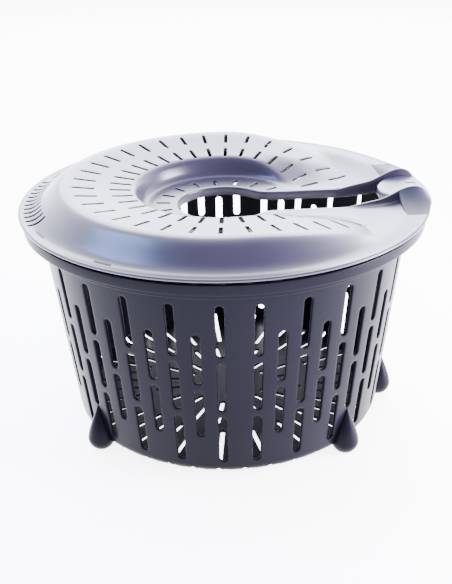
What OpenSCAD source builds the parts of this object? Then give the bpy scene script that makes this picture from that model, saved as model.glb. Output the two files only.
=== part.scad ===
// Salad basket with feet and a turning, lift-off lid whose keyhole runs out to a side handle.
// Origin: on the table, on the basket's axis. +Z up, +X through the handle. Millimetres.
// "az" is an angle about +Z counted from -Y, so the handle is at az 90.

/* [Basket] */
// Outer radius of the band round the rim
rim_r = 133; // [130:1:160]
// Height of the top of the rim above the table
rim_z = 148.5; // [120:0.5:180]
// Outer radius of the wall at the floor
base_r = 107; // [92:1:112]
// Thickness of the wall and of the floor
wall_t = 2.2; // [1.8:0.1:3]
// Clear height under the floor
floor_z = 4; // [3:0.5:8]
// Radius of the corner between floor and wall
corner_r = 6; // [4:0.5:8]

/* [Rim] */
// Thickness of the band and of the gutter floor
band_t = 2.2; // [1.8:0.1:3]
// Width of the gutter between wall and band
gutter_w = 8.3; // [7.8:0.1:10]
// Depth of the gutter
gutter_d = 4.5; // [4:0.1:6]
// Height of the lower band under the gutter
skirt_h = 4.7; // [4:0.1:10]
// Inward reach of the lip that holds the clips
lip_w = 1.1; // [0.8:0.1:1.6]
// Height of that lip
lip_h = 1.2; // [0.8:0.1:1.6]

/* [Wall slots] */
// Width of a wall slot
slot_w = 5.2; // [3:0.2:7]
// Bridge between two slots of a column
bridge_h = 4.6; // [3:0.2:9]
// Plain wall below the lowest slot, from the table
slots_low_z = 14.1; // [13.5:0.1:24]
// Plain wall between the top slot and the rim's skirt
slots_top_gap = 7.8; // [2:0.1:12]
// Half angle of each plain stretch of wall
blank_half = 5.5; // [4:0.5:9]
// Column spacings from the front plain stretch to the rear one, on the handle side
right_steps = 11; // [8:1:13]
// Column spacings on the other side
left_steps = 13; // [8:1:15]

/* [Floor slots] */
// Number of slots in the outer ring
floor_slots = 40; // [24:2:48]
// Width of a floor slot
floor_slot_w = 3; // [2:0.2:4]
// Inner end of the outer ring
floor_ring_r = 62; // [50:1:75]
// Middle ring, inner end
floor_mid_r = 26; // [20:1:34]
// Plain stretch between the two rings
floor_land = 8; // [5:1:14]

/* [Feet] */
// Columns above the feet on the handle side, counted from the front
right_feet = [2, 5, 9];
// Columns above the feet on the other side
left_feet = [3, 8];
// Radius of a foot's round end
foot_r = 9; // [7:0.5:11]
// How far a foot stands out from the floor's corner
foot_out = 11.5; // [7:0.5:13]
// Radius of the flat under a foot
foot_flat_r = 3.6; // [2.5:0.1:5]

/* [Lid] */
// How far the lid's edge overhangs the rim band
lid_over = 3; // [2:0.5:5]
// Gap between rim and lid
lid_gap = 1.5; // [1:0.1:3]
// Thickness of the lid
lid_t = 2.2; // [1.8:0.1:3]
// Height of the lid's shoulder above the rim
dome_h = 16.9; // [12:0.5:26]
// Fall of the top from the shoulder to the edge of the dish
top_fall = 5.2; // [2:0.2:8]
// Height of the dish floor above the rim
dish_h = -1; // [-3:0.5:2]
// Radius of the dish's top edge
dish_r = 60; // [54:1:70]
// Radius of the round opening
keyhole_r = 31; // [24:1:36]
// Half width of the channel from the opening to the handle
channel_half = 17; // [14:0.5:22]
// End of the channel, from the axis
channel_end = 108; // [96:1:110]
// Depth of the turned-down edge round the opening
edge_d = 5; // [3:0.5:8]

/* [Lid slots] */
// Angle between lid slots
lid_pitch = 10; // [10:5:15]
// First slot, counted from the handle
lid_first = 25; // [25:10:45]
// Last slot, counted from the handle
lid_last = 325; // [305:10:335]
// Width of a lid slot
lid_slot_w = 2.4; // [1.8:0.1:3]
// Outer end of the outer ring
ring_a_out = 100; // [94:1:103]
// Inner end of the outer ring
ring_a_in = 85; // [82:1:90]
// Outer end of the middle ring
ring_b_out = 76; // [72:1:80]
// Inner end of the middle ring
ring_b_in = 61.5; // [61:0.5:66]
// Outer end of the dish ring
ring_c_out = 46; // [42:1:50]
// Inner end of the dish ring
ring_c_in = 36; // [35:1:40]
// Slots in the flange opposite the handle
flange_slots = 13; // [7:2:17]
// Angle between those slots
flange_pitch = 3.3; // [3:0.1:4]

/* [Handle] */
// Thickness of each handle rail
rail_t = 2.6; // [2:0.1:4]
// Height of the rails above the rim
rail_h = 11; // [9:0.5:16]
// Where the rails start to rise, from the axis
rail_start = 80; // [74:1:84]
// Radius of the finger scoops beside the handle
scoop_r = 12; // [9:0.5:13]
// Clearance between the thumb rest and the rails
pad_gap = 0.05; // [0.05:0.05:0.4]

/* [Glide ring and clips] */
// Width of the glide ring
glide_w = 3.5; // [3:0.1:4]
// Clearance round the glide ring
glide_gap = 0.4; // [0.3:0.05:0.6]
// Thickness of a clip's stem
clip_t = 1.8; // [1.4:0.1:2.2]
// Length of a clip along the rim
clip_l = 12; // [6:0.5:14]
// Clearance between a clip and the rim
clip_gap = 0.3; // [0.3:0.05:0.5]
// Thickness of a clip's toe
toe_h = 1.5; // [1:0.1:1.8]
// Angles of the clips from the handle
clip_at = [126, 154, 206, 234];

/* [Hidden] */
$fn = 96;
eps = 0.01;
over = 20;

// Rim
wall_top_r = rim_r - band_t - gutter_w;
gutter_z = rim_z - gutter_d;
band_in_r = rim_r - band_t;
skirt_r = (wall_top_r + rim_r) / 2;
skirt_z = gutter_z - band_t - skirt_h;

// Wall
taper = (wall_top_r - base_r) / (rim_z - floor_z);
function wall_r(z) = base_r + taper * (z - floor_z);

// Wall slots
slots_high_z = skirt_z - slots_top_gap;
row_step = (slots_high_z - slots_low_z + bridge_h) / 3;
slot_l = row_step - bridge_h;
col_step = (360 - 4 * blank_half) / (right_steps + left_steps);

// Feet
foot_c_r = base_r + foot_out - foot_r;
foot_c_z = sqrt(foot_r * foot_r - foot_flat_r * foot_flat_r);
foot_top_z = slots_low_z + row_step / 2;

// Lid
lid_r = rim_r + lid_over;
lid_z = rim_z + lid_gap;
shoulder_z = rim_z + dome_h;
dish_z = rim_z + dish_h;
slope_in_r = lid_r - 24;
slope_out_r = lid_r - 7;
flange_top = lid_z + lid_t;
dip_start = 5;
dip_end = 85;

// Handle
rail_z = rim_z + rail_h;
rail_y = channel_half + rail_t;
handle_end = sqrt(lid_r * lid_r - rail_y * rail_y) - 1;
rail_peak = handle_end - 12;
scoop_x = channel_end + 5;
pad_top = rail_z - 4;
pad_dish_r = 48;

// Glide ring and clips
glide_in_r = wall_top_r + glide_gap;
clip_out_r = band_in_r - lip_w - clip_gap;
toe_out_r = band_in_r - clip_gap;
toe_z = rim_z - lip_h - 2 * clip_gap - toe_h;
window_gap = 0.15;
relief = 0.2;

function ramp(t) = let (u = min(1, max(0, t))) u * u * (3 - 2 * u);

// Radius and height of the lid's top, measured where the handle doesn't pull it down
lid_line = [
    [keyhole_r - 4, dish_z - 0.5],
    [dish_r - 7, dish_z],
    [dish_r - 5, dish_z + 2.5],
    [dish_r - 2.5, shoulder_z - top_fall - 3],
    [dish_r, shoulder_z - top_fall - 0.8],
    [ring_b_in + 1, shoulder_z - top_fall],
    [ring_a_out + 3, shoulder_z],
    [slope_in_r - 4, shoulder_z],
    [slope_in_r, shoulder_z - 1.2],
    [slope_in_r + 4, shoulder_z - 3.9],
    [slope_out_r - 4, flange_top + 1.6],
    [slope_out_r, flange_top],
    [lid_r - 3, flange_top],
    [lid_r, flange_top - 1]
];

// Level that the top comes down to beside the channel and the handle
low_line = [
    [keyhole_r, dish_z - 1],
    [95, dish_z - 0.5],
    [slope_in_r, dish_z + 2],
    [slope_out_r - 8.5, flange_top],
    [lid_r - 3, flange_top],
    [lid_r, flange_top - 1]
];

function lid_top(r, a) =
    let (x = r * cos(a), y = abs(r * sin(a)),
         high = lookup(r, lid_line), low = min(high, lookup(r, low_line)),
         dip = max(0, (x - dip_start) / (dip_end - dip_start)),
         keep = max(0, 1 - dip * dip),
         valley = 1 - ramp((x - 15) / 35) * (1 - ramp((y - 25) / 40)))
    low + (high - low) * keep * valley;

// Rings of the lid's grid, from the opening outwards
lid_rings = [
    keyhole_r - 4, ring_c_in, ring_c_out, dish_r - 7, dish_r - 5, dish_r - 2.5, dish_r,
    ring_b_in + 0.5, ring_b_out, ring_a_in, ring_a_out, slope_in_r - 4, slope_in_r,
    slope_in_r + 4, (slope_in_r + slope_out_r) / 2, slope_out_r - 4, slope_out_r, lid_r - 3, lid_r
];
slot_rows = [1, 7, 9];
lines = 2 * 360 / lid_pitch;

function line_angle(i, r) =
    floor(i / 2) * lid_pitch + lid_pitch / 2 + (i % 2 == 0 ? -1 : 1) * asin(lid_slot_w / 2 / r);
function slot_angle(i) = floor(i / 2) * lid_pitch + lid_pitch / 2;
function is_slot(i, j) =
    i % 2 == 0 && len(search(j, slot_rows)) > 0
    && slot_angle(i) >= lid_first && slot_angle(i) <= lid_last
    && (j > 1 || floor(slot_angle(i) / lid_pitch) % 2 == 1);

function grid_point(i, j, down) =
    let (r = lid_rings[j], a = line_angle(i, r))
    [r * cos(a), r * sin(a), lid_top(r, a) - down * (j > 16 ? lid_top(r, a) - lid_z : lid_t)];

module lid_sheet() {
    rows = len(lid_rings);
    half = rows * lines;
    points = [for (down = [0, 1]) for (j = [0:rows - 1]) for (i = [0:lines - 1]) grid_point(i, j, down)];
    function at(i, j, down) = down * half + j * lines + (i + lines) % lines;
    function solid(i, j) = j >= 0 && j < rows - 1 && !is_slot((i + lines) % lines, j);
    cells = [for (j = [0:rows - 2]) for (i = [0:lines - 1]) if (solid(i, j)) [i, j]];
    tops = [for (c = cells) for (k = [0, 1]) let (i = c[0], j = c[1])
        k == 0 ? [at(i, j, 0), at(i, j + 1, 0), at(i + 1, j + 1, 0)]
               : [at(i, j, 0), at(i + 1, j + 1, 0), at(i + 1, j, 0)]];
    bottoms = [for (t = tops) [t[2] + half, t[1] + half, t[0] + half]];
    inner = [for (c = cells) let (i = c[0], j = c[1]) if (!solid(i, j - 1))
        [at(i, j, 0), at(i + 1, j, 0), at(i + 1, j, 1), at(i, j, 1)]];
    outer = [for (c = cells) let (i = c[0], j = c[1]) if (!solid(i, j + 1))
        [at(i + 1, j + 1, 0), at(i, j + 1, 0), at(i, j + 1, 1), at(i + 1, j + 1, 1)]];
    left = [for (c = cells) let (i = c[0], j = c[1]) if (!solid(i - 1, j))
        [at(i, j + 1, 0), at(i, j, 0), at(i, j, 1), at(i, j + 1, 1)]];
    right = [for (c = cells) let (i = c[0], j = c[1]) if (!solid(i + 1, j))
        [at(i + 1, j, 0), at(i + 1, j + 1, 0), at(i + 1, j + 1, 1), at(i + 1, j, 1)]];
    sides = concat(inner, outer, left, right);
    walls = [for (s = sides) for (k = [0, 1]) k == 0 ? [s[0], s[1], s[2]] : [s[0], s[2], s[3]]];
    faces = concat(tops, bottoms, walls);
    polyhedron(points, [for (f = faces) [f[2], f[1], f[0]]]);
}

module at_az(az) {
    rotate([0, 0, az - 90]) children();
}

// Stadium outline, length along Y
module stadium(l, w) {
    translate([0, l / 2 - w / 2]) circle(d = w);
    translate([0, w / 2 - l / 2]) circle(d = w);
    square([w, l - w], center = true);
}

// Slot through the wall at az, centred at height z
module wall_slot(az, z) {
    at_az(az) translate([wall_r(z) - over / 2, 0, z])
        rotate([90, 0, 90]) linear_extrude(over) stadium(slot_l, slot_w);
}

module wall_slots() {
    for (side = [[1, right_steps], [-1, left_steps]]) {
        for (k = [0:side[1]], row = [0:2])
            wall_slot(side[0] * (blank_half + k * col_step), slots_low_z + slot_l / 2 + row * row_step);
        for (k = [0:side[1] - 1], row = [0:1])
            wall_slot(side[0] * (blank_half + (k + 0.5) * col_step),
                      slots_low_z + slot_l / 2 + (row + 0.5) * row_step);
    }
}

module floor_slot(a, r_in, r_out) {
    rotate([0, 0, a]) translate([(r_in + r_out) / 2, 0, floor_z - over / 2 + wall_t])
        rotate([0, 0, 90]) linear_extrude(over / 2 + 1.5) stadium(r_out - r_in, floor_slot_w);
}

module floor_cuts() {
    for (k = [0:floor_slots - 1])
        floor_slot((k + 0.5) * 360 / floor_slots, floor_ring_r, base_r - 0.6);
    for (k = [0:floor_slots / 2 - 1])
        floor_slot((k + 0.5) * 720 / floor_slots, floor_mid_r, floor_ring_r - floor_land);
}

// Outline of the basket in radius and height: floor, corner, wall, gutter, band and skirt
module basket_outline() {
    in_r = corner_r - wall_t;
    corner = [for (a = [-90:15:0])
        [base_r - corner_r + corner_r * cos(a), floor_z + corner_r + corner_r * sin(a)]];
    inner = [for (a = [0:-15:-90])
        [base_r - corner_r + in_r * cos(a), floor_z + corner_r + in_r * sin(a)]];
    difference() {
        union() {
            polygon(concat([[0, floor_z]], corner, [[wall_top_r, rim_z], [wall_top_r - wall_t, rim_z]],
                           inner, [[0, floor_z + wall_t]]));
            translate([wall_top_r - wall_t / 2, gutter_z - band_t])
                square([rim_r - wall_top_r + wall_t / 2, band_t]);
            translate([band_in_r, gutter_z - band_t]) square([band_t, rim_z - gutter_z + band_t]);
            translate([band_in_r - lip_w, rim_z - lip_h]) square([lip_w + band_t / 2, lip_h]);
            translate([skirt_r - band_t, skirt_z]) square([band_t, skirt_h + band_t / 2]);
            translate([wall_r(skirt_z) - wall_t / 2, skirt_z]) square([skirt_r - wall_r(skirt_z), band_t]);
        }
        translate([-eps, 0]) square([eps, rim_z]);
    }
}

// Half outline of a drop of height l: a round end of radius r that narrows to a point
module drop(l, r) {
    tip = 0.8;
    s = asin((r - tip) / l);
    polygon(concat(
        [for (a = [-90:7.5:s]) [r * cos(a), r * sin(a)]],
        [[r * cos(s), r * sin(s)], [tip, l], [0, l]]
    ));
}

// Drop-shaped foot: its ball is under the corner and its point runs up the wall
module foot(az) {
    top = [wall_r(foot_top_z) - wall_t / 2, foot_top_z];
    run = [top[0] - foot_c_r, top[1] - foot_c_z];
    at_az(az) difference() {
        translate([foot_c_r, 0, foot_c_z]) rotate([0, atan2(run[0], run[1]), 0])
            rotate_extrude() drop(norm(run), foot_r);
        translate([0, -over, -over]) cube([2 * base_r, 2 * over, over]);
    }
}

// Room inside the wall, which the feet stay out of
module inside() {
    translate([0, 0, floor_z + wall_t / 2]) cylinder(corner_r, base_r - corner_r, base_r - corner_r);
    translate([0, 0, floor_z + corner_r])
        cylinder(rim_z, wall_r(floor_z + corner_r) - wall_t / 2, wall_r(floor_z + corner_r + rim_z) - wall_t / 2);
}

function foot_az(side, col) = side * (blank_half + (col + 0.5) * col_step);

// Gaps in the lip that let the clips in
module lip_gaps() {
    half = asin((clip_l / 2 + 3) / band_in_r);
    for (a = clip_at)
        rotate([0, 0, a - half]) rotate_extrude(angle = 2 * half)
            translate([band_in_r - lip_w - 1, rim_z - lip_h - relief])
                square([lip_w + 1 + relief, lip_h + 1]);
}

module basket() {
    color("#3b3b4a") difference() {
        union() {
            rotate_extrude() basket_outline();
            difference() {
                union() {
                    for (col = right_feet) foot(foot_az(1, col));
                    for (col = left_feet) foot(foot_az(-1, col));
                }
                inside();
            }
        }
        wall_slots();
        floor_cuts();
        lip_gaps();
    }
}

module glide_ring() {
    color("#15151a") translate([0, 0, gutter_z]) rotate_extrude()
        translate([glide_in_r, glide_gap]) square([glide_w, lid_z - gutter_z - 2 * glide_gap]);
}

// Opening and channel, grown by g
module keyhole(g) {
    circle(keyhole_r + g);
    translate([0, -channel_half - g]) square([channel_end + g, 2 * (channel_half + g)]);
}

module rail_outline() {
    polygon([
        [rail_start, dish_z - 1], [rail_start + 8, dish_z + 0.4],
        [channel_end - 12, rail_z - 9.8], [channel_end - 5, rail_z - 7.6],
        [channel_end + 1, rail_z - 4.7], [channel_end + 7, rail_z - 1.9],
        [rail_peak, rail_z], [rail_peak + 5, rail_z - 0.5],
        [rail_peak + 9, rail_z - 2.9], [handle_end, flange_top + 1],
        [handle_end, lid_z + lid_t / 2], [wall_top_r - 4, lid_z + lid_t / 4],
        [rail_start + 10, dish_z - 1.5]
    ]);
}

module rail(side) {
    translate([0, side > 0 ? rail_y : -channel_half, 0])
        rotate([90, 0, 0]) linear_extrude(rail_t) rail_outline();
}

// Concave side of the handle's end
module scoop(side) {
    intersection() {
        difference() {
            translate([0, side > 0 ? rail_y + scoop_r : 0.5 - rail_y, -0.3])
                rotate([90, 0, 0]) linear_extrude(scoop_r + 0.5) rail_outline();
            translate([rail_start, side * (rail_y + scoop_r), flange_top + scoop_r - 1])
                rotate([0, 90, 0]) cylinder(lid_r, scoop_r - 0.4, scoop_r - 0.4);
        }
        translate([scoop_x, -lid_r, lid_z + 0.3]) cube([lid_r, 2 * lid_r, rail_h + over]);
        cylinder(rail_z + over, lid_r - 1.2, lid_r - 1.2);
    }
}

module clip_windows(g) {
    for (a = clip_at) clip_stem(a, g, lid_z - 1, flange_top + over);
}

module clip_stem(a, g, z0, z1) {
    half = asin((clip_l / 2 + g) / clip_out_r);
    rotate([0, 0, a - half]) rotate_extrude(angle = 2 * half)
        translate([clip_out_r - clip_t - g, z0]) square([clip_t + 2 * g, z1 - z0]);
}

module flange_cuts() {
    for (k = [0:flange_slots - 1])
        rotate([0, 0, 180 + (k - (flange_slots - 1) / 2) * flange_pitch])
            translate([slope_out_r - 8, 0, lid_z - 1])
                rotate([0, 0, -90]) translate([0, 6, 0]) linear_extrude(over) stadium(12, lid_slot_w);
}

module lid() {
    color("#77748a") difference() {
        union() {
            difference() {
                lid_sheet();
                translate([0, 0, rim_z - over]) linear_extrude(3 * over) keyhole(0);
            }
            translate([0, 0, dish_z - edge_d]) linear_extrude(edge_d - 0.8) difference() {
                keyhole(lid_t);
                keyhole(0);
            }
            rail(1);
            rail(-1);
            scoop(1);
            scoop(-1);
        }
        clip_windows(window_gap);
        flange_cuts();
    }
}

// Dished web between the rails, rolled at its front and bent down at its outer end
module thumb_rest() {
    w = 2 * (channel_half - pad_gap);
    level_r = slope_out_r - 8.5;
    level_x = sqrt(level_r * level_r - channel_half * channel_half) - 0.3;
    roll_r = 1.5;
    roll = [for (a = [90:20:270]) [channel_end - 1.6 + roll_r * cos(a), pad_top - 4.2 + roll_r * sin(a)]];
    color("#b9b8c8") difference() {
        translate([0, w / 2, 0]) rotate([90, 0, 0]) linear_extrude(w) polygon(concat(roll, [
            [slope_in_r - 0.5, dish_z + 3], [level_x, flange_top + pad_gap],
            [handle_end, flange_top + pad_gap], [handle_end, pad_top - 2.4],
            [handle_end - 2, pad_top - 1], [handle_end - 5, pad_top - 0.2],
            [rail_peak, pad_top], [rail_peak - 6, pad_top - 0.8], [channel_end + 4, pad_top - 1.9]
        ]));
        translate([channel_end - 6, 0, pad_top + pad_dish_r - 0.8])
            rotate([0, 90, 0]) cylinder(2 * over, pad_dish_r, pad_dish_r);
    }
}

module clip(n) {
    a = clip_at[n];
    half = asin(clip_l / 2 / clip_out_r);
    color("#101014") {
        clip_stem(a, 0, toe_z, flange_top + 0.3);
        rotate([0, 0, a - half]) rotate_extrude(angle = 2 * half)
            translate([clip_out_r - clip_t / 2, toe_z]) square([toe_out_r - clip_out_r + clip_t / 2, toe_h]);
    }
}

basket();
glide_ring();
lid();
thumb_rest();
clip(0);  // clip_1
clip(1);  // clip_2
clip(2);  // clip_3
clip(3);  // clip_4
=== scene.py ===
# %% [markdown]
# # A salad basket with a turning lid
# The object is a dark plum basket full of upright slots, on drop-shaped feet, under a slotted
# lid with a keyhole opening and a side handle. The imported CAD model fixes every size. This file
# adds the looks: smooth moulded surfaces, softened slot edges, satin plastic, light and camera.

# %% Load the frame
import math
import bmesh
import bpy
import numpy as np
from mathutils import Matrix, Vector


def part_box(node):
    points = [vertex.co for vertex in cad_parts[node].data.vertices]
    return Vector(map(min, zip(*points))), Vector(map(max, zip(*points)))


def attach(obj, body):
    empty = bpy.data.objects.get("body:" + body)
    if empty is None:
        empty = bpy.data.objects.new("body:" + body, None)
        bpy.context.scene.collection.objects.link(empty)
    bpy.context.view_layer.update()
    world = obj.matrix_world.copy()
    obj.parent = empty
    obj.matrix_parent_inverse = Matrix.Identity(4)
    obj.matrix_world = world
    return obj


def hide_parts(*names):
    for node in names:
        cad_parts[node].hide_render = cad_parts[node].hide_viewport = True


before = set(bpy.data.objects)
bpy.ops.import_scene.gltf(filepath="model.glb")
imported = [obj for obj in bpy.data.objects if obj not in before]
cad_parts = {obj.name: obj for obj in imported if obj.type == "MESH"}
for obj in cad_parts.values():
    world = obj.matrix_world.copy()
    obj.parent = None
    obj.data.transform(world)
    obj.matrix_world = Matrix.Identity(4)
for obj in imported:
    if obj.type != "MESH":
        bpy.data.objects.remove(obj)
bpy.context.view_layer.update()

# %% [markdown]
# ## Sizes
# Lengths are in metres. The overall ones come from the frame, so the looks follow the CAD model.
# "az" is an angle about +Z counted from -Y, and the handle is at az 90.

# %% Sizes from the frame and named details
MM = 0.001
LID_R = 136 * MM
RIM_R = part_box("basket")[1].x
RIM_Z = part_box("basket")[1].z
BASE_R = 107 * MM
WALL_T = 2.2 * MM
FLOOR_Z = 4 * MM
CORNER_R = 6 * MM
BAND_T = 2.2 * MM
GUTTER_W = 8.3 * MM
GUTTER_Z = RIM_Z - 4.5 * MM
WALL_TOP_R = RIM_R - BAND_T - GUTTER_W
SKIRT_Z = GUTTER_Z - BAND_T - 4.7 * MM
SKIRT_R = (WALL_TOP_R + RIM_R) / 2
SLOT_W = 5.2 * MM
SLOT_LOW = 14.1 * MM
BRIDGE = 4.6 * MM
ROW_STEP = (SKIRT_Z - 7.8 * MM - SLOT_LOW + BRIDGE) / 3
SLOT_L = ROW_STEP - BRIDGE
BLANK_HALF = 5.5
RIGHT_STEPS, LEFT_STEPS = 11, 13
COL_STEP = (360 - 4 * BLANK_HALF) / (RIGHT_STEPS + LEFT_STEPS)
print(f"rim radius {RIM_R * 1000:.1f} mm at {RIM_Z * 1000:.1f} mm, column step {COL_STEP:.2f} deg")


# %% [markdown]
# ## Turning arrays into pieces
# Every new surface is a grid of points worked out as whole arrays.

# %% Mesh helpers
def grid_faces(rows, cols, start=0, closed=False):
    """Quads of a rows by cols grid of points whose numbers begin at start; closed joins the last
    column to the first."""
    i, j = np.meshgrid(np.arange(rows - 1), np.arange(cols if closed else cols - 1), indexing="ij")
    k = (j + 1) % cols
    quads = np.stack([i * cols + j, i * cols + k, (i + 1) * cols + k, (i + 1) * cols + j], -1)
    return quads.reshape(-1, 4) + start


def stack(parts):
    """Joins (points, faces) pairs into one pair, shifting each part's face numbers."""
    counts = np.cumsum([0] + [len(p) for p, _ in parts])
    points = np.concatenate([p for p, _ in parts])
    faces = np.concatenate([f + n for (_, f), n in zip(parts, counts)])
    return points, faces


def make_piece(name, parts, material, body, replaced=(), slot=None, crease=38.0, weld=2e-6):
    """Builds one object at the origin from (points, faces) pairs of quads. Edges sharper than
    crease, in degrees, stay sharp, and points closer than weld, in metres, are joined."""
    points, faces = stack(parts)
    mesh = bpy.data.meshes.new(name)
    mesh.vertices.add(len(points))
    mesh.vertices.foreach_set("co", points.astype(np.float32).ravel())
    mesh.loops.add(faces.size)
    mesh.loops.foreach_set("vertex_index", faces.astype(np.int32).ravel())
    mesh.polygons.add(len(faces))
    mesh.polygons.foreach_set("loop_start", np.arange(0, faces.size, 4, dtype=np.int32))
    mesh.update(calc_edges=True)
    work = bmesh.new()
    work.from_mesh(mesh)
    bmesh.ops.remove_doubles(work, verts=work.verts, dist=weld)
    bmesh.ops.dissolve_degenerate(work, edges=work.edges, dist=weld / 2)
    bmesh.ops.recalc_face_normals(work, faces=work.faces)
    work.to_mesh(mesh)
    open_edges = sum(1 for e in work.edges if not e.is_manifold)
    work.free()
    mesh.polygons.foreach_set("use_smooth", np.ones(len(mesh.polygons), bool))
    mesh.set_sharp_from_angle(angle=math.radians(crease))
    piece = bpy.data.objects.new(name, mesh)
    bpy.context.scene.collection.objects.link(piece)
    mesh.materials.append(material)
    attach(piece, body)
    if replaced:
        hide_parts(*replaced)
    print(f"{name}: {len(mesh.polygons)} faces, {open_edges} open edges")


def ring(profile, steps, a0=0.0, a1=360.0):
    """A closed (radius, height) outline turned about Z from angle a0 to a1, in degrees. A full
    turn closes on itself."""
    profile = np.asarray(profile, float)
    full = abs(a1 - a0) >= 360
    a = np.radians(np.linspace(a0, a1, steps, endpoint=not full))
    r, z = profile[:, 0], profile[:, 1]
    points = np.stack([np.outer(r, np.cos(a)), np.outer(r, np.sin(a)),
                       np.repeat(z[:, None], len(a), 1)], -1)
    points = np.concatenate([points, points[:1]])
    faces = grid_faces(len(profile) + 1, len(a), 0, full)
    return points.reshape(-1, 3), faces


def rounded(corners, radius, steps=4):
    """A closed outline with each corner replaced by a quadratic curve that starts radius away
    from it."""
    c = np.asarray(corners, float)
    before, after = np.roll(c, 1, 0), np.roll(c, -1, 0)
    t = np.linspace(0, 1, steps)[None, :, None]

    def toward(other):
        step = other - c
        length = np.linalg.norm(step, axis=1, keepdims=True)
        return c + step / length * np.minimum(radius, length * 0.45)

    p, q = toward(before)[:, None], toward(after)[:, None]
    curve = (1 - t) ** 2 * p + 2 * t * (1 - t) * c[:, None] + t ** 2 * q
    return curve.reshape(-1, 2)


def ramp(t):
    """Smooth step from 0 to 1."""
    u = np.clip(t, 0, 1)
    return u * u * (3 - 2 * u)


# %% [markdown]
# ## Moulded plastic
# The basket and the lid are satin polypropylene: dark slate with a plum cast, a broad soft
# highlight and a very fine grain from the mould. Each part gets its own copy of the plastic in a
# shade set by how light falls on it. The lid's copy is several times lighter than the basket's,
# and the thumb web's is lighter still: painted light. The cheeks' copy is darker and bluer than
# the lid's: painted shade with a painted blue cast. Noise on Object coordinates varies the colour
# a little, changes the gloss in soft clouds, and adds the grain as bump.

# %% Plastic materials
COLOUR_CLOUDS = 14
MOULD_GRAIN = 1400


def plastic(name, deep, light, roughness, gloss, coat):
    """Satin moulded plastic whose colour drifts between deep and light, with a gloss level and a
    thin clear coat."""
    mat = bpy.data.materials.new(name)
    mat.use_nodes = True
    nodes, links = mat.node_tree.nodes, mat.node_tree.links
    shader = nodes["Principled BSDF"]
    shader.inputs["Specular IOR Level"].default_value = gloss
    shader.inputs["Coat Weight"].default_value = coat
    shader.inputs["Coat Roughness"].default_value = 0.32
    place = nodes.new("ShaderNodeTexCoord")
    cloud = nodes.new("ShaderNodeTexNoise")
    cloud.inputs["Scale"].default_value = COLOUR_CLOUDS
    cloud.inputs["Detail"].default_value = 3
    links.new(place.outputs["Object"], cloud.inputs["Vector"])
    colour = nodes.new("ShaderNodeValToRGB")
    colour.color_ramp.elements[0].position = 0.3
    colour.color_ramp.elements[0].color = (*deep, 1)
    colour.color_ramp.elements[1].position = 0.7
    colour.color_ramp.elements[1].color = (*light, 1)
    links.new(cloud.outputs["Fac"], colour.inputs["Fac"])
    links.new(colour.outputs["Color"], shader.inputs["Base Color"])
    patchy = nodes.new("ShaderNodeMapRange")
    patchy.inputs["To Min"].default_value = roughness - 0.03
    patchy.inputs["To Max"].default_value = roughness + 0.04
    links.new(cloud.outputs["Fac"], patchy.inputs["Value"])
    links.new(patchy.outputs["Result"], shader.inputs["Roughness"])
    fine = nodes.new("ShaderNodeTexNoise")
    fine.inputs["Scale"].default_value = MOULD_GRAIN
    fine.inputs["Detail"].default_value = 2
    links.new(place.outputs["Object"], fine.inputs["Vector"])
    bump = nodes.new("ShaderNodeBump")
    bump.inputs["Strength"].default_value = 0.04
    bump.inputs["Distance"].default_value = 0.0002
    links.new(fine.outputs["Fac"], bump.inputs["Height"])
    links.new(bump.outputs["Normal"], shader.inputs["Normal"])
    return mat


basket_plastic = plastic("slate_plum_basket", (0.0024, 0.0021, 0.0048), (0.0034, 0.0030, 0.0064),
                         0.30, 0.035, 0.01)
# The lid's copy is several times lighter than the basket's: painted light for its top, which catches
# the bright back of the room.
lid_plastic = plastic("slate_plum_lid_painted_light", (0.0190, 0.0145, 0.0300), (0.0225, 0.0175, 0.0350),
                      0.24, 0.28, 0.22)
# The cheeks' copy is darker and bluer than the lid's: painted shade for the concave cheeks, with a
# painted blue cast of reflection.
cheek_painted_shade_plastic = plastic("slate_plum_cheek_painted_shade", (0.0130, 0.0120, 0.0260), (0.0160, 0.0150, 0.0310),
                        0.34, 0.06, 0.02)
# The thumb web's copy is much lighter than the lid's: painted light for its top, which faces the
# bright back of the room.
pad_plastic = plastic("slate_plum_pad_painted_light", (0.0550, 0.0470, 0.0780), (0.0650, 0.0560, 0.0900),
                      0.28, 0.40, 0.40)
black_plastic = plastic("black_bearing", (0.003, 0.003, 0.004), (0.005, 0.005, 0.006), 0.42, 0.15, 0)


# %% [markdown]
# ## A sheet with softened slots
# Both the wall and the lid are thin sheets pierced by rows of slots with round ends. Cutting
# them with booleans leaves knife edges that look drawn on. Here each slot gets its own cell: a
# closed path that morphs from the cell's rectangle to the slot's outline, carried through a
# profile that rounds the edge over, goes through the sheet and comes back out underneath.

# %% Slot cells
def cell_path(half_u, half_v, nu, nv):
    """Rectangle of 2 half_u by 2 half_v as a closed path of 2 nu + 2 nv points, from its low-u,
    high-v corner."""
    up = np.linspace(-half_u, half_u, nu, endpoint=False)
    across = np.linspace(half_v, -half_v, nv, endpoint=False)
    u = np.concatenate([up, np.full(nv, half_u), -up, np.full(nv, -half_u)])
    v = np.concatenate([np.full(nu, half_v), across, np.full(nu, -half_v), -across])
    return u, v


def slot_path(half_l, half_w, grow, nu, nv, cap):
    """Round-ended slot as a path with as many points as cell_path, grown by an offset: two
    straights of nu - 2 cap steps and two half circles of 2 cap + nv steps."""
    straight, arc = nu - 2 * cap, 2 * cap + nv
    s, r = half_l - half_w, half_w + grow
    up = np.linspace(-s, s, straight, endpoint=False)
    t = np.linspace(0, math.pi, arc, endpoint=False)
    u = np.concatenate([up, s + r * np.sin(t), -up, -s - r * np.sin(t)])
    v = np.concatenate([np.full(straight, r), r * np.cos(t), np.full(straight, -r), -r * np.cos(t)])
    return np.roll(u, cap), np.roll(v, cap)


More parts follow.
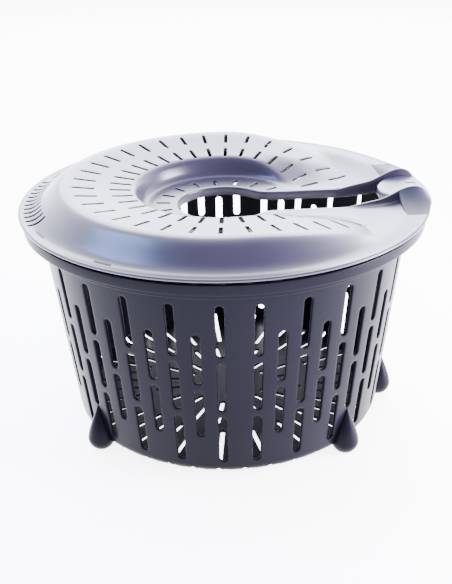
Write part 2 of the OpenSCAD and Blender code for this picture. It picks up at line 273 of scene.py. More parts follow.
def slot_cell(half_u, half_v, nu, nv, half_l, half_w, thick, soft, cap):
    """A cell with a slot through it, as arrays (u, v, depth, blend) of stations by path points.
    Blend is 1 on the rectangle and 0 on the slot."""
    stations = [(None, 0), (1.9 * soft, 0), (0.9 * soft, 0.05 * soft), (0.35 * soft, 0.25 * soft),
                (0, soft), (0, thick - 0.6 * soft), (0.4 * soft, thick), (1.9 * soft, thick),
                (None, thick)]
    rows = []
    for grow, depth in stations:
        if grow is None:
            u, v = cell_path(half_u, half_v, nu, nv)
        else:
            u, v = slot_path(half_l, half_w, grow, nu, nv, cap)
        rows.append(np.stack([u, v, np.full(len(u), depth), np.full(len(u), float(grow is None))]))
    return np.stack(rows, 1)


# %% [markdown]
# ## The basket's wall
# The wall is a cone that opens upwards. Its slots stand in columns: three slots, then two set
# half a row higher, in turn all round, apart from two plain stretches at the parting lines. All
# columns share one lattice of heights, so the cells weld into one sheet.

# %% Wall sheet
WALL_ROWS = 16
WALL_COLS = 4
WALL_SOFT = 0.75 * MM


def wall_r(z):
    """Outer radius of the wall at height z: a straight line from the floor to the rim."""
    return BASE_R + (WALL_TOP_R - BASE_R) * (z - FLOOR_Z) / (RIM_Z - FLOOR_Z)


def wall_point(az, z, depth):
    """Point of the wall at angle az in degrees, height z and depth below its outside."""
    a = np.radians(az - 90)
    r = wall_r(z) - depth
    return np.stack([r * np.cos(a), r * np.sin(a), z + 0 * a], -1)


def wall_lattice():
    """Heights shared by all columns: plain rows below and above, and a step of a sixteenth of a
    row between."""
    low = SLOT_LOW - BRIDGE / 2
    middle = low + np.arange(3 * WALL_ROWS + 1) * ROW_STEP / WALL_ROWS
    return np.concatenate([[low - 0.8 * MM], middle, [SKIRT_Z, GUTTER_Z - BAND_T, RIM_Z - 0.6 * MM]])


def plain_patch(az0, az1, z, steps):
    """Outside and inside of a stretch of wall without slots."""
    grid_az, grid_z = np.meshgrid(np.linspace(az0, az1, steps + 1), z, indexing="ij")
    outside = wall_point(grid_az, grid_z, 0).reshape(-1, 3)
    inside = wall_point(grid_az, grid_z, WALL_T).reshape(-1, 3)
    faces = grid_faces(steps + 1, len(z))
    return stack([(outside, faces), (inside, faces)])


def column(az, half, slots):
    """One column of wall: a strip of 2 half degrees with slots at the given lattice rows."""
    z = wall_lattice()
    parts, done = [], 0
    for first in slots:
        if first > done:
            parts.append(plain_patch(az - half, az + half, z[done:first + 1], WALL_COLS))
        centre = (z[first] + z[first + WALL_ROWS]) / 2
        half_v = math.radians(half)
        cell = slot_cell(ROW_STEP / 2, half_v, WALL_ROWS, WALL_COLS,
                         SLOT_L / 2, SLOT_W / 2, WALL_T, WALL_SOFT, 3)
        height = centre + cell[0]
        on_slot = np.degrees(cell[1] / wall_r(centre))
        angle = az + np.where(cell[3] > 0.5, np.degrees(cell[1]), on_slot)
        points = wall_point(angle, height, cell[2])
        parts.append((points.reshape(-1, 3), grid_faces(*points.shape[:2], 0, True)))
        done = first + WALL_ROWS
    if done < len(z) - 1:
        parts.append(plain_patch(az - half, az + half, z[done:], WALL_COLS))
    return parts


def wall_sheet():
    """All columns, both plain stretches and the closing strips at top and bottom."""
    parts, half = [], COL_STEP / 4
    threes, twos = [1, 1 + WALL_ROWS, 1 + 2 * WALL_ROWS], [1 + WALL_ROWS // 2, 1 + 3 * WALL_ROWS // 2]
    for side, steps in ((1, RIGHT_STEPS), (-1, LEFT_STEPS)):
        for k in range(steps + 1):
            parts += column(side * (BLANK_HALF + k * COL_STEP), half, threes)
        for k in range(steps):
            parts += column(side * (BLANK_HALF + (k + 0.5) * COL_STEP), half, twos)
    z = wall_lattice()
    rear = 2 * BLANK_HALF + RIGHT_STEPS * COL_STEP
    for middle in (0, rear):
        parts.append(plain_patch(middle - BLANK_HALF + half, middle + BLANK_HALF - half, z, 3))
    return parts


def wall_edges(az):
    """Strips that close the sheet at its lowest and highest lattice rows."""
    z = wall_lattice()
    parts = []
    for level in (z[0], z[-1]):
        rows = np.stack([wall_point(az, np.full(len(az), level), 0),
                         wall_point(az, np.full(len(az), level), WALL_T)])
        parts.append((rows.reshape(-1, 3), grid_faces(2, len(az), 0, True)))
    return parts


def wall_angles():
    """Every angle used by the wall's columns, in order round the basket."""
    half = COL_STEP / 4
    rear = 2 * BLANK_HALF + RIGHT_STEPS * COL_STEP
    spans = [(m - BLANK_HALF + half, m + BLANK_HALF - half, 3) for m in (0, rear)]
    for side, steps in ((1, RIGHT_STEPS), (-1, LEFT_STEPS)):
        for k in range(2 * steps + 1):
            centre = side * (BLANK_HALF + k * COL_STEP / 2)
            spans.append((centre - half, centre + half, WALL_COLS))
    angles = np.concatenate([np.linspace(a, b, n + 1) for a, b, n in spans]) % 360
    return np.unique(np.round(angles, 6) % 360)


# %% [markdown]
# ## Floor, corner and rim
# The floor is a disc that turns up through a round corner into the wall. Its slots run outwards
# and bite into the corner, so light shows as a row of dots along the bottom edge. The rim is
# one turned outline: inner edge, gutter, outer band, and a skirt stepped in under the band.

# %% Floor and rim
FLOOR_CELLS = 40
FLOOR_TURN = -2.85
FLOOR_SLOT_W = 3 * MM
FLOOR_MARGIN = 1.5 * MM
RING_IN, RING_OUT = 60.5 * MM, BASE_R + 3 * MM
MIDDLE_IN, MIDDLE_OUT = 24.5 * MM, 55.5 * MM
CORNER_START = BASE_R - CORNER_R
CORNER_LEN = CORNER_R * math.pi / 2


def floor_point(angle, s, depth):
    """Point of the floor at angle in degrees and distance s along its outside: flat out to the
    corner, round the corner's quarter circle, then up the wall. Depth goes inwards."""
    a = np.radians(angle)
    turn = np.clip((s - CORNER_START) / CORNER_R, 0, math.pi / 2)
    rise = np.maximum(0, s - CORNER_START - CORNER_LEN)
    r = np.minimum(s, CORNER_START) + (CORNER_R - depth) * np.sin(turn)
    z = FLOOR_Z + CORNER_R - (CORNER_R - depth) * np.cos(turn) + rise
    slope = (WALL_TOP_R - BASE_R) / (RIM_Z - FLOOR_Z)
    r = r + slope * np.maximum(0, z - FLOOR_Z) * np.sin(turn)
    return np.stack([r * np.cos(a), r * np.sin(a), z + 0 * a], -1)


def floor_patch(angle, s):
    """Outside and inside of a plain stretch of floor, closed round the turn."""
    parts = []
    for depth in (0, WALL_T):
        grid_s, grid_a = np.meshgrid(s, angle, indexing="ij")
        points = floor_point(grid_a, grid_s, depth).reshape(-1, 3)
        parts.append((points, grid_faces(len(s), len(angle), 0, True)))
    return stack(parts)


def floor_cells(s0, s1, count, nu, nv):
    """A ring of cells between s0 and s1, each with one slot along the radius."""
    half_u, pitch = (s1 - s0) / 2, 360 / count
    cell = slot_cell(half_u, pitch / 2, nu, nv, half_u - FLOOR_MARGIN, FLOOR_SLOT_W / 2,
                     WALL_T, 0.4 * MM, 3)
    s = (s0 + s1) / 2 + cell[0]
    across = np.where(cell[3] > 0.5, cell[1], np.degrees(cell[1] / s))
    parts = []
    for k in range(count):
        points = floor_point(FLOOR_TURN + (k + 0.5) * pitch + across, s, cell[2])
        parts.append((points.reshape(-1, 3), grid_faces(*points.shape[:2], 0, True)))
    return parts


def floor_sheet():
    """Hub, two rings of slots, the corner and the closing strip at its top."""
    angle = FLOOR_TURN + np.linspace(0, 360, FLOOR_CELLS * 4, endpoint=False)
    top = CORNER_START + CORNER_LEN + wall_lattice()[0] - FLOOR_Z - CORNER_R
    hub = np.linspace(0.2 * MM, MIDDLE_IN, 5)
    parts = [floor_patch(angle, hub), floor_patch(angle, np.linspace(MIDDLE_OUT, RING_IN, 3)),
             floor_patch(angle, np.linspace(RING_OUT, top, 3))]
    parts += floor_cells(MIDDLE_IN, MIDDLE_OUT, FLOOR_CELLS // 2, 12, 8)
    parts += floor_cells(RING_IN, RING_OUT, FLOOR_CELLS, 20, 4)
    for s in (hub[0], top):
        rows = np.stack([floor_point(angle, np.full(len(angle), s), d) for d in (0, WALL_T)])
        parts.append((rows.reshape(-1, 3), grid_faces(2, len(angle), 0, True)))
    return parts


def rim_ring():
    """The rim's outline, turned: inner edge, gutter floor, band, and skirt under the gutter."""
    lip = 1.1 * MM
    wall_in = WALL_TOP_R - WALL_T + 0.1 * MM
    under = GUTTER_Z - BAND_T
    skirt_in = wall_r(SKIRT_Z) - WALL_T / 2
    corners = [
        (wall_in, under), (wall_in, RIM_Z), (WALL_TOP_R, RIM_Z), (WALL_TOP_R, GUTTER_Z),
        (RIM_R - BAND_T, GUTTER_Z), (RIM_R - BAND_T, RIM_Z - 1.4 * MM),
        (RIM_R - BAND_T - lip, RIM_Z - 1.2 * MM), (RIM_R - BAND_T - lip, RIM_Z), (RIM_R, RIM_Z),
        (RIM_R, under), (SKIRT_R, under - 0.3 * MM), (SKIRT_R, SKIRT_Z), (skirt_in, SKIRT_Z),
    ]
    return ring(rounded(corners, 0.7 * MM), 288)


# %% [markdown]
# ## The feet
# Each foot is a drop: a round end below the floor's corner that thins to a point up the wall.
# The drop is a turned outline with its axis laid up the wall, and whatever would reach inside
# the basket is pushed out to the middle of the wall.

# %% Feet
FOOT_OUT = 11.5 * MM
FOOT_R = 9 * MM
BALL_Z = FOOT_R * 0.92
DROP_LENGTH = 26 * MM
TIP_Z = 34 * MM
RIGHT_FEET, LEFT_FEET = (2, 5, 9), (3, 8)
FOOT_AZ = ([BLANK_HALF + (k + 0.5) * COL_STEP for k in RIGHT_FEET]
           + [-BLANK_HALF - (k + 0.5) * COL_STEP for k in LEFT_FEET])


def foot(az):
    """Half-round end of radius FOOT_R that narrows along a smooth curve to a point. The radius
    at share t of the height above the ball is FOOT_R (1 - t)^1.4 (1 + 0.9 t)."""
    round_end = np.radians(np.linspace(-90, 0, 10))
    t = np.linspace(0, 1, 22)[1:]
    r = np.concatenate([FOOT_R * np.cos(round_end), FOOT_R * (1 - t) ** 1.4 * (1 + 0.9 * t)])
    h = np.concatenate([FOOT_R * np.sin(round_end), DROP_LENGTH * t])
    a = np.linspace(0, 2 * math.pi, 40, endpoint=False)
    x, y = np.outer(r, np.cos(a)), np.outer(r, np.sin(a))
    centre = BASE_R + FOOT_OUT - FOOT_R
    lean = (wall_r(TIP_Z) - centre) / DROP_LENGTH
    out = centre + x + lean * np.maximum(h, 0)[:, None]
    z = np.maximum(BALL_Z + np.repeat(h[:, None], len(a), 1), 0)
    corner = np.clip(1 - (z - FLOOR_Z) / CORNER_R, 0, 1)
    inside = wall_r(z) - WALL_T / 2 - CORNER_R * (1 - np.sqrt(1 - corner ** 2))
    out = np.where(z > FLOOR_Z + WALL_T / 2, np.maximum(out, inside), out)
    b = math.radians(az - 90)
    points = np.stack([out * math.cos(b) - y * math.sin(b),
                       out * math.sin(b) + y * math.cos(b), z], -1)
    return points.reshape(-1, 3), grid_faces(len(r), len(a), 0, True)


# %% Build the basket
def basket_piece(name, parts, **looks):
    """A piece of the basket's moulding."""
    make_piece(name, parts, basket_plastic, "base", ("basket",), "basket_plastic", **looks)


basket_piece("basket_wall", wall_sheet() + wall_edges(wall_angles()))
basket_piece("basket_floor", floor_sheet())
basket_piece("basket_rim", [rim_ring()])
basket_piece("basket_feet", [foot(az) for az in FOOT_AZ], crease=60, weld=1e-7)

# %% [markdown]
# ## The lid
# The lid is a broad dome with a flat shoulder, a dish in its middle and a flange that covers the
# rim. Its height is a smooth curve of the radius, which is then pulled down towards the handle,
# where a channel runs out from the opening. One function gives that height, so top, underside,
# slots and edges all agree. The lines below are (radius, height above the rim) in millimetres:
# the dome's own line, the low level beside the channel, and the crest of the handle's rails
# against X.

# %% Height of the lid
LID_T = 2.2 * MM
KEY_R = 33.2 * MM
CHANNEL_Y = 19.2 * MM
CHANNEL_X = 108.9 * MM
FLANGE_R = 130 * MM
LID_LINE = np.array([
    (27, -1.5), (46, -1.2), (52.5, -0.9), (54.3, 0.1), (55.5, 2.2), (56.6, 5.6), (57.8, 8.7),
    (59.4, 10.6), (61.5, 11.5), (68, 12.3), (76, 13.3), (90, 15.2), (100, 16.6), (106, 17.0),
    (108.6, 16.7), (110.8, 15.7), (113.4, 13.8), (117, 10.8), (120.5, 7.9), (123.6, 5.6),
    (126.6, 4.2), (130, 3.75), (132, 3.85), (134, 4.1), (136, 4.1)]) * MM
LOW_LINE = np.array([
    (27, -2), (60, -1.8), (95, -1.2), (108, 0.5), (112, 1.3), (116, 2.3), (120.5, 3.3),
    (126, 3.7), (130, 3.75)]) * MM
CREST = np.array([
    (79, -2.2), (84, -1.1), (90, 0.4), (96, 1.6), (103, 3.3), (109, 6.0), (116, 9.4),
    (122, 11.0), (127, 10.5), (130.5, 8.5), (133, 5.6), (134.4, 3.6)]) * MM


def smooth_line(line, x):
    """Height of a line of (x, height) points at x, as a cubic through them whose slope at each
    point is the mean of its neighbours' slopes."""
    px, py = line[:, 0], line[:, 1]
    m = np.gradient(py, px)
    k = np.clip(np.searchsorted(px, x) - 1, 0, len(px) - 2)
    w = px[k + 1] - px[k]
    t = np.clip((x - px[k]) / w, 0, 1)
    return ((1 + 2 * t) * (1 - t) ** 2 * py[k] + t * (1 - t) ** 2 * w * m[k]
            + t * t * (3 - 2 * t) * py[k + 1] + t * t * (t - 1) * w * m[k + 1])


def lid_top(x, y):
    """Height of the lid's top. The dome keeps a share of its rise that falls with the square of
    x towards the handle and vanishes beside the channel."""
    r, side = np.hypot(x, y), np.abs(y)
    high = smooth_line(LID_LINE, r)
    low = np.where(r < FLANGE_R, np.minimum(high, smooth_line(LOW_LINE, r)), high)
    keep = 1 - np.clip((x - 5 * MM) / (80 * MM), 0, 1) ** 2
    valley = 1 - ramp((x - 15 * MM) / (35 * MM)) * (1 - ramp((side - 25 * MM) / (40 * MM)))
    return RIM_Z + low + (high - low) * keep * valley


# %% [markdown]
# The lid's lattice is polar: the radius runs in named steps and the angle in twelfths of ten
# degrees. Near the handle the opening's outline reaches further out, so there the radii are
# stretched between the outline and an outer limit, and the cells stay joined.

# %% Lattice of the lid
STEP = 10 / 12
STEPS_ROUND = 432
STRETCH_R = 60.5 * MM
SLOT_WIDTH = 2.4 * MM


def from_handle(angle):
    """Angle from the handle, 0 to 180 on either side."""
    return np.abs((angle + 180) % 360 - 180)


def opening_r(angle):
    """Distance from the axis to the opening's outline: the round hole and the channel's sides
    joined as a soft maximum, and the channel's end."""
    a = from_handle(angle)
    side = CHANNEL_Y / np.sin(np.radians(np.clip(a, 10, 90)))
    both = (KEY_R ** 14 + side ** 14) ** (1 / 14)
    both = np.where(a > 75, KEY_R, both)
    return np.where(a <= 10.0001, CHANNEL_X / np.cos(np.radians(a)), both)


def lid_r(u, angle):
    """Real radius of lattice radius u at an angle: the radii from the opening to a limit are
    stretched in proportion, and the limit grows from STRETCH_R to the lid's edge at the handle."""
    start = opening_r(angle)
    limit = STRETCH_R + (LID_R - STRETCH_R) * ramp((20 - from_handle(angle)) / 6)
    stretched = start + (u - KEY_R) * (limit - start) / (limit - KEY_R)
    return np.where(u < limit, stretched, u)


def lid_point(u, angle, depth):
    """Point of the lid at lattice radius u, angle in degrees and depth below its top."""
    r = lid_r(u, angle)
    x, y = r * np.cos(np.radians(angle)), r * np.sin(np.radians(angle))
    return np.stack([x, y, lid_top(x, y) - depth], -1)


def lid_patch(u, a0, a1):
    """Top and underside of a stretch of lid without slots."""
    angle = np.arange(round((a1 - a0) / STEP) + 1) * STEP + a0
    grid_u, grid_a = np.meshgrid(u, angle, indexing="ij")
    faces = grid_faces(len(u), len(angle))
    top = lid_point(grid_u, grid_a, 0).reshape(-1, 3)
    bottom = lid_point(grid_u, grid_a, LID_T).reshape(-1, 3)
    return stack([(top, faces), (bottom, faces)])


def lid_cell(u0, u1, centre, half_a, nu, nv, margin):
    """A cell of the lid between lattice radii u0 and u1, with one slot along the radius."""
    half_u = (u1 - u0) / 2
    cell = slot_cell(half_u, half_a, nu, nv, half_u - margin, SLOT_WIDTH / 2, LID_T, 0.3 * MM, 1)
    u = (u0 + u1) / 2 + cell[0]
    real = lid_r(u, centre)
    angle = centre + np.where(cell[3] > 0.5, cell[1], np.degrees(cell[1] / real))
    points = lid_point(u, angle, cell[2])
    return points.reshape(-1, 3), grid_faces(*points.shape[:2], 0, True)


# %% [markdown]
# Three rings of slots cross the top: two on the slope round the dish and one on its floor. A
# short comb of slots crosses the flange opposite the handle.

# %% Sheet of the lid
DISH_IN, DISH_OUT = 34.9 * MM, 47 * MM
INNER_IN, INNER_OUT = STRETCH_R, 77 * MM
OUTER_IN, OUTER_OUT = 84 * MM, 101 * MM
COMB_IN, COMB_OUT = 118.5 * MM, 133 * MM
EDGE_U = 134.2 * MM


def span(u0, u1, n):
    """n equal steps from u0 to u1."""
    return np.linspace(u0, u1, n + 1)


def lid_sheet():
    """Every ten-degree sector of the lid, with its slots or plain. A ring is (inner radius,
    outer radius, steps across it, steps before it, margin, whether it has a slot here)."""
    parts = []
    for m in range(36):
        a0, centre = 10 * m, 10 * m + 5
        slotted = 25 <= centre <= 325
        rings = [(DISH_IN, DISH_OUT, 6, 2, 1.1 * MM, slotted and m % 2 == 1),
                 (INNER_IN, INNER_OUT, 8, 9, 1 * MM, slotted),
                 (OUTER_IN, OUTER_OUT, 8, 4, 1 * MM, slotted)]
        done = KEY_R
        for u0, u1, nu, before, margin, cut in rings:
            parts.append(lid_patch(span(done, u0, before), a0, a0 + 10))
            if cut:
                parts.append(lid_cell(u0, u1, centre, 5, nu, 12, margin))
            else:
                parts.append(lid_patch(span(u0, u1, nu), a0, a0 + 10))
            done = u1
        parts.append(lid_patch(span(done, COMB_IN, 10), a0, a0 + 10))
        if 160 <= a0 < 200:
            for k in range(3):
                middle = a0 + (k + 0.5) * 10 / 3
                parts.append(lid_cell(COMB_IN, COMB_OUT, middle, 5 / 3, 10, 4, 1.2 * MM))
        else:
            parts.append(lid_patch(span(COMB_IN, COMB_OUT, 10), a0, a0 + 10))
        parts.append(lid_patch(span(COMB_OUT, EDGE_U, 2), a0, a0 + 10))
    return parts


def lid_edge():
    """The flange's rounded outer edge, from its top round to its underside."""
    angle = np.arange(STEPS_ROUND) * STEP
    stations = [(EDGE_U, 0), (134.8 * MM, 0.15 * MM), (135.2 * MM, 0.5 * MM), (135.3 * MM, 1 * MM),
                (135.1 * MM, 1.5 * MM), (EDGE_U, LID_T)]
    rows = []
    for u, depth in stations:
        base = lid_point(np.full(len(angle), EDGE_U), angle, depth)
        base[:, :2] *= u / EDGE_U
        rows.append(base)
    rows = np.stack(rows)
    return rows.reshape(-1, 3), grid_faces(len(stations), len(angle), 0, True)


def opening_edge():
    """The opening's turned-down edge. A profile of (reach into the opening, depth) is carried
    along the outline, square to it in plan."""
    angle = np.arange(STEPS_ROUND) * STEP
    r = opening_r(angle)
    a = np.radians(angle)
    plan = np.stack([r * np.cos(a), r * np.sin(a)], -1)
    along = np.roll(plan, -1, 0) - np.roll(plan, 1, 0)
    inward = np.stack([-along[:, 1], along[:, 0]], -1)
    inward /= np.linalg.norm(inward, axis=1, keepdims=True)
    top = lid_top(plan[:, 0], plan[:, 1])
    profile = [(0, 0), (1.3, 0.03), (1.8, 0.2), (2.1, 0.6), (2.2, 1.1), (2.2, 5.6), (1.9, 6.0),
               (1.3, 6.0), (1.0, 5.6), (1.0, 2.8), (0.6, 2.3), (0, LID_T / MM)]
    rows = []
    for reach, depth in profile:
        flat = plan + inward * reach * MM
        rows.append(np.concatenate([flat, (top - depth * MM)[:, None]], 1))
    rows = np.stack(rows)
    return rows.reshape(-1, 3), grid_faces(len(profile), len(angle), 0, True)


make_piece("lid_shell", lid_sheet() + [lid_edge(), opening_edge()], lid_plastic, "cover", ("lid",),
           "lid_plastic", 50, 4e-6)

# %% [markdown]
# ## The handle
# Two thin rails rise from the channel's sides in a long curve, crest near the rim and bend down
# again. Each is a section, rounded on top and flared at its foot, carried along X. Beyond the
# channel each rail's outer side becomes a wide concave cheek for a finger.

# %% Handle rails
RAIL_IN = 16.93 * MM
RAIL_OUT = 19.6 * MM
EDGE_R = 135.0 * MM
RAIL_START = 79 * MM
CHEEK_WIDTH = 38 * MM


def ends_of(rows, half):
    """Caps for both ends of a tube given as section points by stations, folded at half."""
    caps = []
    for end in (0, -1):
        left, right = rows[:half + 1, end], rows[half:, end][::-1]
        n = min(len(left), len(right))
        cap = np.stack([left[:n], right[:n]])
        caps.append((cap.reshape(-1, 3), grid_faces(2, n)))
    return caps


def rail(side):
    """Section of (distance from the middle plane, height) carried along x. The top follows the
    crest line, and the foot flares out into the lid."""
    x = np.linspace(RAIL_START, math.sqrt(EDGE_R ** 2 - RAIL_OUT ** 2) - 0.2 * MM, 90)
    top = RIM_Z + smooth_line(CREST, x)
    sheet = [lid_top(x, np.full(len(x), RAIL_OUT + d * MM)) for d in (0, 0.9, 3.2)]
    rise = np.maximum(top - sheet[0], 0.4 * MM)
    drop = 5.4 * MM - 4.6 * MM * ramp((x - 108 * MM) / (3 * MM))
    low_in = np.minimum(sheet[0] - drop, top - 1.2 * MM)
    section = [(RAIL_OUT + 3.2 * MM, sheet[2] - 0.8 * MM), (RAIL_OUT + 3.2 * MM, sheet[2] + 0.02 * MM),
               (RAIL_OUT + 0.9 * MM, sheet[1] + np.minimum(0.7 * MM, rise * 0.3)),
               (RAIL_OUT, sheet[0] + np.minimum(3 * MM, rise * 0.6)), (RAIL_OUT, top - 0.9 * MM),
               (RAIL_OUT - 0.25 * MM, top - 0.35 * MM), (RAIL_OUT - 0.8 * MM, top - 0.05 * MM),
               ((RAIL_IN + RAIL_OUT) / 2, top), (RAIL_IN + 0.8 * MM, top - 0.05 * MM),
               (RAIL_IN + 0.25 * MM, top - 0.35 * MM), (RAIL_IN, top - 0.9 * MM), (RAIL_IN, low_in),
               (RAIL_IN + 1 * MM, low_in), (RAIL_OUT, low_in)]
    rows = np.stack([np.stack([x, np.full(len(x), side * y), z], -1) for y, z in section])
    closed = np.concatenate([rows, rows[:1]])
    tube = (closed.reshape(-1, 3), grid_faces(len(closed), len(x)))
    return [tube] + ends_of(rows, len(rows) // 2 - 1)


def slab(top, bottom):
    """Two grids of points of one shape, joined along their four borders."""
    faces = grid_faces(*top.shape[:2])
    parts = [(top.reshape(-1, 3), faces), (bottom.reshape(-1, 3), faces)]
    for cut in (np.s_[0], np.s_[-1], np.s_[:, 0], np.s_[:, -1]):
        border = np.stack([top[cut], bottom[cut]])
        parts.append((border.reshape(-1, 3), grid_faces(2, border.shape[1])))
    return parts


def cheek(side):
    """Concave cheek over a grid of s, across, and w, along. The distance from the middle plane
    grows with s, x runs with w from the front edge to the lid's rim, and the height falls from
    the crest to the lid as (1 - s)^2.3. The cheek at -Y has a rounded front edge, and the one at
    +Y rises gently out of the lid."""
    s, w = np.meshgrid(np.linspace(0, 1, 34), np.linspace(0, 1, 40) ** 1.25, indexing="ij")
    y = RAIL_OUT - 0.9 * MM + CHEEK_WIDTH * s
    x_front = (113.6 - 3.6 * s) * MM
    x = x_front + (np.sqrt(EDGE_R ** 2 - y ** 2) - x_front) * w
    sheet = lid_top(x, y)
    crest = RIM_Z + smooth_line(CREST, x) - 0.25 * MM
    floor_level = np.maximum(sheet, RIM_Z + 3.4 * MM) - 0.05 * MM
    z = floor_level + np.maximum(crest - floor_level, 0) * (1 - s) ** 2.3
    z = z - (z - sheet + 0.1 * MM) * ramp((s - 0.86) / 0.14)
    edge = np.clip(1 - (x - x_front) / (1.1 * MM), 0, 1)
    z = z - 0.8 * MM * edge ** 2.5 if side < 0 else sheet + (z - sheet) * ramp(w / 0.35)
    top = np.stack([x, side * y, z], -1)
    bottom = np.stack([x, side * y, np.minimum(sheet - 0.9 * MM, z - 0.3 * MM)], -1)
    return slab(top, bottom)


make_piece("handle_rails", rail(1) + rail(-1), lid_plastic, "cover", ("lid",), "lid_plastic", 45, 1e-7)
# The cheeks wear the darker, bluer copy of the lid's plastic: painted shade with a painted blue cast.
make_piece("handle_cheeks", cheek(1) + cheek(-1), cheek_painted_shade_plastic, "cover", ("lid",),
           "lid_plastic", 40, 1e-7)

# %% [markdown]
# ## The thumb rest
# A web lies between the rails, in a copy of the plastic much lighter than the lid's, which is
# painted light for a top that faces the bright back of the room. Its front is a rolled tongue, its
# middle is dished for the thumb, its outer end bends down to the rim, and two short grooves run
# to that end.

# %% Thumb rest
PAD_LINE = np.array([
    (104, 3.5), (107, 3.8), (112, 4.5), (118, 5.5), (124, 6.1), (129, 6.0), (132, 5.4),
    (134, 4.4), (135.4, 3.6)]) * MM
PAD_HALF = RAIL_IN - 0.05 * MM
GROOVE_Y = 4.5 * MM


def thumb_rest():
    """A surface of x and y. The front edge recedes as the 2.5th power of y, the height follows
    the line above less a parabola across and a quarter round at the front, and two fine grooves
    are narrow bell curves of y."""
    w = np.concatenate([np.linspace(0, 0.09, 12)[:-1], np.linspace(0.09, 1, 76)])
    y = np.linspace(-PAD_HALF, PAD_HALF, 69)
    w, y = np.meshgrid(w, y, indexing="ij")
    front = 104.7 * MM + 7.3 * MM * (np.abs(y) / RAIL_IN) ** 2.5
    x = front + (np.sqrt(EDGE_R ** 2 - y ** 2) - 0.1 * MM - front) * w
    roll = np.clip(1 - (x - front) / (1.9 * MM), 0, 1)
    dish = 0.9 * MM * (1 - (y / RAIL_IN) ** 2) * ramp((x - front) / (9 * MM))
    z = RIM_Z + smooth_line(PAD_LINE, x) - dish - 1.3 * MM * (1 - np.sqrt(1 - roll ** 2))
    length = ramp((x - 123.5 * MM) / (1.5 * MM)) * ramp((132 * MM - x) / (1.5 * MM))
    for offset in (-GROOVE_Y, GROOVE_Y):
        z = z - 0.9 * MM * length * np.exp(-((y - offset) / (0.5 * MM)) ** 2)
    under = np.maximum(z - 2.4 * MM, np.where(x < 108 * MM, 0, lid_top(x, y)) + 0.1 * MM)
    under = np.minimum(under, z - 0.2 * MM)
    top, bottom = np.stack([x, y, z], -1), np.stack([x, y, under], -1)
    return slab(top, bottom)


make_piece("thumb_web", thumb_rest(), pad_plastic, "cover", ("thumb_rest",), "pad_plastic", 50, 1e-7)

# %% [markdown]
# ## The hidden bearing
# The ring in the gutter and the four clips keep their CAD shape. They only need a dark, smooth
# plastic.

# %% Finish for the carried CAD nodes
for node in ("glide_ring", "clip_1", "clip_2", "clip_3", "clip_4"):
    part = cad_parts[node]
    part.data.materials.clear()
    part.data.materials.append(black_plastic)
print("finished the glide ring and four clips")


# %% [markdown]
# ## Studio
# A white room that is brightest behind the object, a large soft light there, a blue one above on
# the left, a lavender one on the right, and a nearly white floor. The lid's top catches the bright
# back of the room at a low angle, and the wall that faces the viewer stays dark.

# %% Floor, light and camera
def soft_light(name, place, target, size, power, colour):
    """A square area light at place that faces target."""
    data = bpy.data.lights.new(name, "AREA")
    data.size = size
    data.energy = power
    data.color = colour
    lamp = bpy.data.objects.new(name, data)
    bpy.context.scene.collection.objects.link(lamp)
    lamp.location = place
    lamp.rotation_mode = "QUATERNION"
    lamp.rotation_quaternion = (Vector(target) - Vector(place)).to_track_quat("-Z", "Y")


def studio_floor():
    """A wide flat sheet of pale matt material just under the feet."""
    half = 6.0
    mesh = bpy.data.meshes.new("floor")
    corners = [(-half, -half, 0), (half, -half, 0), (half, half, 0), (-half, half, 0)]
    mesh.from_pydata(corners, [], [(0, 1, 2, 3)])
    sheet = bpy.data.objects.new("floor", mesh)
    bpy.context.scene.collection.objects.link(sheet)
    mat = bpy.data.materials.new("pale_floor")
    mat.use_nodes = True
    shader = mat.node_tree.nodes["Principled BSDF"]
    shader.inputs["Base Color"].default_value = (0.95, 0.95, 0.95, 1)
    shader.inputs["Roughness"].default_value = 0.6
    shader.inputs["Emission Color"].default_value = (1.0, 0.99, 0.97, 1)
    shader.inputs["Emission Strength"].default_value = 6.0
    mesh.materials.append(mat)


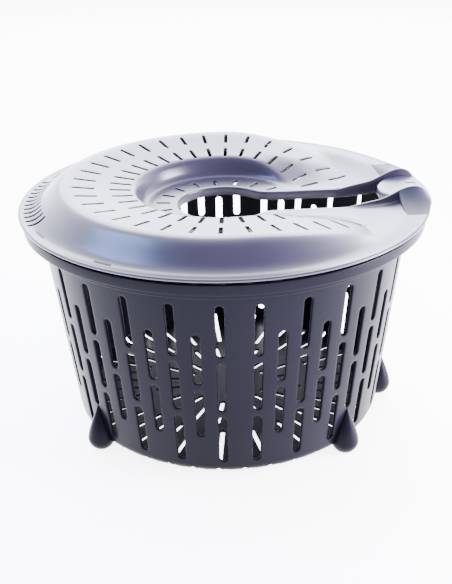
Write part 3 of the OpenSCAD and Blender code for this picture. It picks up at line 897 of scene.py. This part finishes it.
def white_room():
    """World light whose strength grows with the direction's Y, from dim in front to bright
    behind."""
    world = bpy.data.worlds.new("white_room")
    bpy.context.scene.world = world
    world.use_nodes = True
    room, links = world.node_tree.nodes, world.node_tree.links
    sky = room.new("ShaderNodeTexCoord")
    split = room.new("ShaderNodeSeparateXYZ")
    glow = room.new("ShaderNodeMapRange")
    glow.inputs["From Min"].default_value = -0.15
    glow.inputs["From Max"].default_value = 0.8
    glow.inputs["To Min"].default_value = 1.4
    glow.inputs["To Max"].default_value = 12
    links.new(sky.outputs["Generated"], split.inputs["Vector"])
    links.new(split.outputs["Y"], glow.inputs["Value"])
    links.new(glow.outputs["Result"], room["Background"].inputs["Strength"])
    room["Background"].inputs["Color"].default_value = (0.80, 0.83, 1.0, 1)


TURN = math.radians(3.6)
CAM_BACK = 0.5653
CAM_UP = 0.3546
PITCH = 0.4521
ROLL = -0.0213
LENS = 55.017


def aim_camera():
    """A camera in front of the object and above it, turned a little to the right, pitched down
    by PITCH and rolled by ROLL, in radians."""
    camera = bpy.data.objects.new("camera", bpy.data.cameras.new("camera"))
    bpy.context.scene.collection.objects.link(camera)
    bpy.context.scene.camera = camera
    ahead = Vector((math.sin(TURN), math.cos(TURN), 0))
    right = Vector((math.cos(TURN), -math.sin(TURN), 0))
    forward = ahead * math.cos(PITCH) - Vector((0, 0, math.sin(PITCH)))
    up = right.cross(forward)
    turned_right = right * math.cos(ROLL) + up * math.sin(ROLL)
    turned_up = up * math.cos(ROLL) - right * math.sin(ROLL)
    place = Vector((0, 0, CAM_UP)) - ahead * CAM_BACK
    turned = Matrix((turned_right, turned_up, -forward)).transposed()
    camera.matrix_world = Matrix.Translation(place) @ turned.to_4x4()
    camera.data.sensor_width = 36
    camera.data.lens = LENS
    print(f"camera lens {camera.data.lens:.1f} mm")


studio_floor()
white_room()
soft_light("white_back", (0.1, 1.5, 0.9), (0, 0, 0.1), 1.2, 40, (0.97, 0.97, 1.0))
soft_light("blue_above_left", (-0.62, 0.08, 0.95), (-0.05, -0.05, 0.15), 0.4, 16, (0.25, 0.42, 1.0))
soft_light("lavender_right", (1.0, -0.25, 0.30), (0.1, 0, 0.08), 0.5, 100, (0.86, 0.83, 1.0))
aim_camera()
